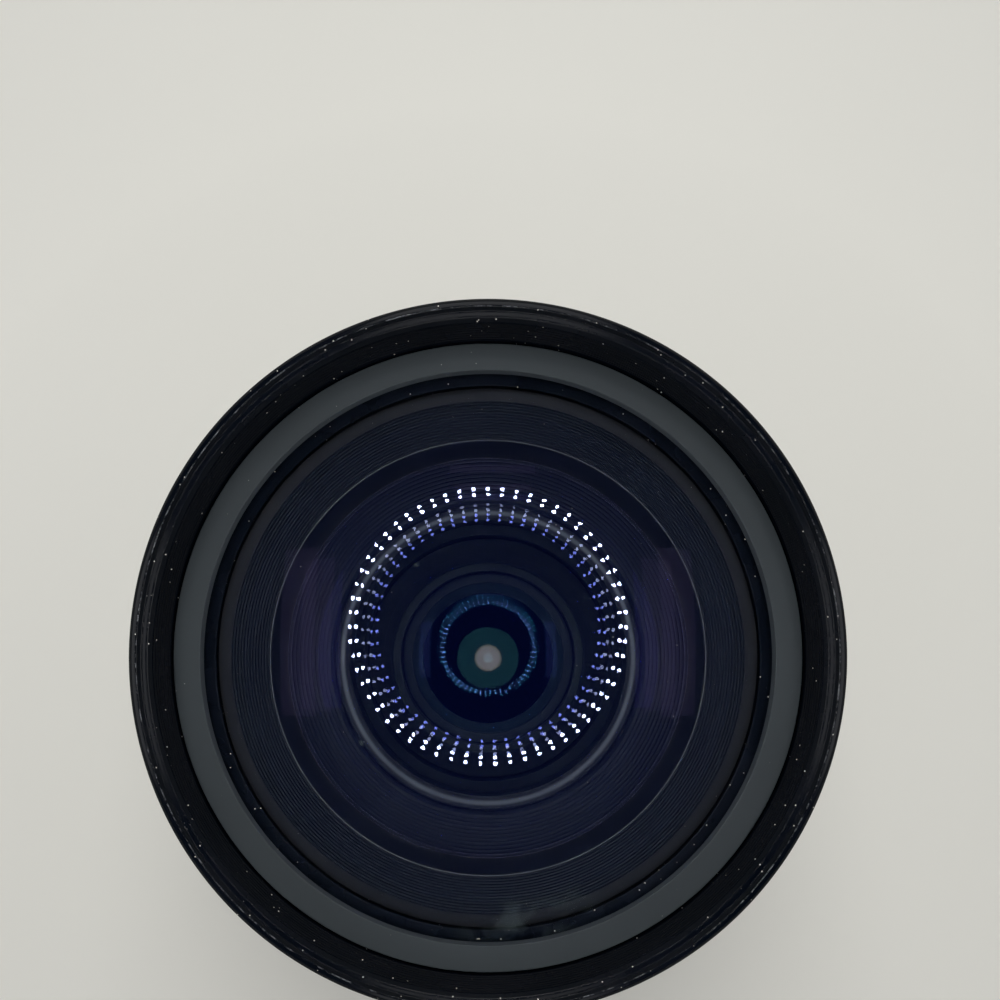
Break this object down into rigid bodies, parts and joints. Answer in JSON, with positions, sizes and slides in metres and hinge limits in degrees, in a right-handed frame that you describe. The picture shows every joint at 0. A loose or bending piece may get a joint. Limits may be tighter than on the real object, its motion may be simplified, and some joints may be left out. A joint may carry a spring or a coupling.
{
  "type": "camera zoom lens",
  "caption": "Wide-angle zoom lens with ribbed zoom and focus rings, aperture ring, bayonet mount, iris and glass behind a threaded front rim.",
  "frame": {"origin": "centre of the rear rim of the bayonet mount, on which the lens stands", "axes": "+Z along the optical axis, from the mount to the front rim; +X and +Y across the lens"},
  "size_m": [0.076, 0.076, 0.0919],
  "materials": {
    "chrome": "polished chrome on brass",
    "steel": "bright",
    "inner_black": "matt black anodised",
    "black_metal": "black anodised, slightly worn",
    "grey_metal": "matt grey anodised",
    "aluminium": "turned",
    "brass": "turned",
    "rubber": "matt ribbed",
    "glass": "polished, blue and purple anti-reflection coating",
    "blade_black": "matt black"
  },
  "bodies": {
    "fixed_barrel": {"bayonet_mount": "chrome", "mount_screw_1": "steel", "mount_screw_2": "steel", "mount_screw_3": "steel", "mount_screw_4": "steel", "rear_barrel": "inner_black", "click_ball": "steel", "click_leaf_spring": "steel", "index_barrel": "black_metal", "guide_tube": "aluminium", "guide_screw_1": "steel", "guide_screw_2": "steel", "guide_screw_3": "steel"},
    "stop_down": {"stop_down_lever": "steel"},
    "zoom": {"zoom_ring": "black_metal", "zoom_grip": "rubber", "cam_barrel": "brass", "zoom_key": "brass", "zoom_key_screw": "steel"},
    "carrier": {"front_carrier": "black_metal", "carrier_roller_1": "brass", "carrier_roller_2": "brass", "carrier_roller_3": "brass"},
    "focus": {"focus_ring": "black_metal", "focus_grip": "rubber", "focus_key": "brass"},
    "front_group": {"front_cell": "inner_black", "inner_cell": "inner_black", "third_retaining_ring": "inner_black", "front_element": "glass", "second_element": "glass", "third_element": "glass", "ridged_baffle": "inner_black", "filter_ring": "black_metal", "front_retaining_ring": "grey_metal"},
    "rear_group": {"rear_cell": "inner_black", "rear_roller_1": "brass", "rear_roller_2": "brass", "rear_roller_3": "brass", "relay_cell": "inner_black", "fourth_element": "glass", "relay_retaining_ring": "inner_black", "rear_lens_barrel": "inner_black", "fifth_element": "glass", "rear_spacer": "inner_black", "sixth_element": "glass", "rear_retaining_ring": "inner_black"},
    "iris_drive": {"iris_ring": "steel"},
    "iris_blade_1": {"blade_1": "blade_black"},
    "iris_blade_2": {"blade_2": "blade_black"},
    "iris_blade_3": {"blade_3": "blade_black"},
    "iris_blade_4": {"blade_4": "blade_black"},
    "iris_blade_5": {"blade_5": "blade_black"},
    "iris_blade_6": {"blade_6": "blade_black"},
    "aperture": {"aperture_ring": "black_metal", "aperture_fork": "steel", "fork_screw": "steel"}
  },
  "joints": [
    {"name": "stop_down_turn", "type": "hinge", "parent": "fixed_barrel", "child": "stop_down", "pos_m": [0, 0, 0.0079], "axis": [0, 0, 1], "range_deg": [0, 25], "stiffness_Nm_per_rad": 0.02, "springref_deg": -11.46},
    {"name": "zoom_turn", "type": "hinge", "parent": "fixed_barrel", "child": "zoom", "pos_m": [0, 0, 0.0424], "axis": [0, 0, 1], "range_deg": [0, 70]},
    {"name": "carrier_slide", "type": "slide", "parent": "fixed_barrel", "child": "carrier", "axis": [0, 0, 1], "range_m": [0, 0.012]},
    {"name": "rear_slide", "type": "slide", "parent": "fixed_barrel", "child": "rear_group", "axis": [0, 0, 1], "range_m": [0, 0.008]},
    {"name": "focus_turn", "type": "hinge", "parent": "carrier", "child": "focus", "pos_m": [0, 0, 0.0672], "axis": [0, 0, 1], "range_deg": [0, 120]},
    {"name": "front_thread", "type": "slide", "parent": "focus", "child": "front_group", "axis": [0, 0, 1], "range_m": [0, 0.004]},
    {"name": "aperture_turn", "type": "hinge", "parent": "fixed_barrel", "child": "aperture", "pos_m": [0, 0, 0.0127], "axis": [0, 0, 1], "range_deg": [0, 45]},
    {"name": "iris_turn", "type": "hinge", "parent": "rear_group", "child": "iris_drive", "pos_m": [0, 0, 0.0389], "axis": [0, 0, 1], "range_deg": [0, 45]},
    {"name": "blade_1_turn", "type": "hinge", "parent": "rear_group", "child": "iris_blade_1", "pos_m": [0.0145, 0, 0.0346], "axis": [0, 0, 1], "range_deg": [0, 27]},
    {"name": "blade_2_turn", "type": "hinge", "parent": "rear_group", "child": "iris_blade_2", "pos_m": [0.00725, 0.01256, 0.0346], "axis": [0, 0, 1], "range_deg": [0, 27]},
    {"name": "blade_3_turn", "type": "hinge", "parent": "rear_group", "child": "iris_blade_3", "pos_m": [-0.00725, 0.01256, 0.0346], "axis": [0, 0, 1], "range_deg": [0, 27]},
    {"name": "blade_4_turn", "type": "hinge", "parent": "rear_group", "child": "iris_blade_4", "pos_m": [-0.0145, 0, 0.0346], "axis": [0, 0, 1], "range_deg": [0, 27]},
    {"name": "blade_5_turn", "type": "hinge", "parent": "rear_group", "child": "iris_blade_5", "pos_m": [-0.00725, -0.01256, 0.0346], "axis": [0, 0, 1], "range_deg": [0, 27]},
    {"name": "blade_6_turn", "type": "hinge", "parent": "rear_group", "child": "iris_blade_6", "pos_m": [0.00725, -0.01256, 0.0346], "axis": [0, 0, 1], "range_deg": [0, 27]}
  ],
  "couplings": [
    {"joint": "carrier_slide", "follows": "zoom_turn", "m_per_rad": 0.0098221},
    {"joint": "rear_slide", "follows": "zoom_turn", "m_per_rad": 0.006548},
    {"joint": "front_thread", "follows": "focus_turn", "m_per_rad": 0.0019098},
    {"joint": "iris_turn", "follows": "aperture_turn", "ratio": 1},
    {"joint": "blade_1_turn", "follows": "aperture_turn", "ratio": 0.6},
    {"joint": "blade_2_turn", "follows": "aperture_turn", "ratio": 0.6},
    {"joint": "blade_3_turn", "follows": "aperture_turn", "ratio": 0.6},
    {"joint": "blade_4_turn", "follows": "aperture_turn", "ratio": 0.6},
    {"joint": "blade_5_turn", "follows": "aperture_turn", "ratio": 0.6},
    {"joint": "blade_6_turn", "follows": "aperture_turn", "ratio": 0.6}
  ]
}
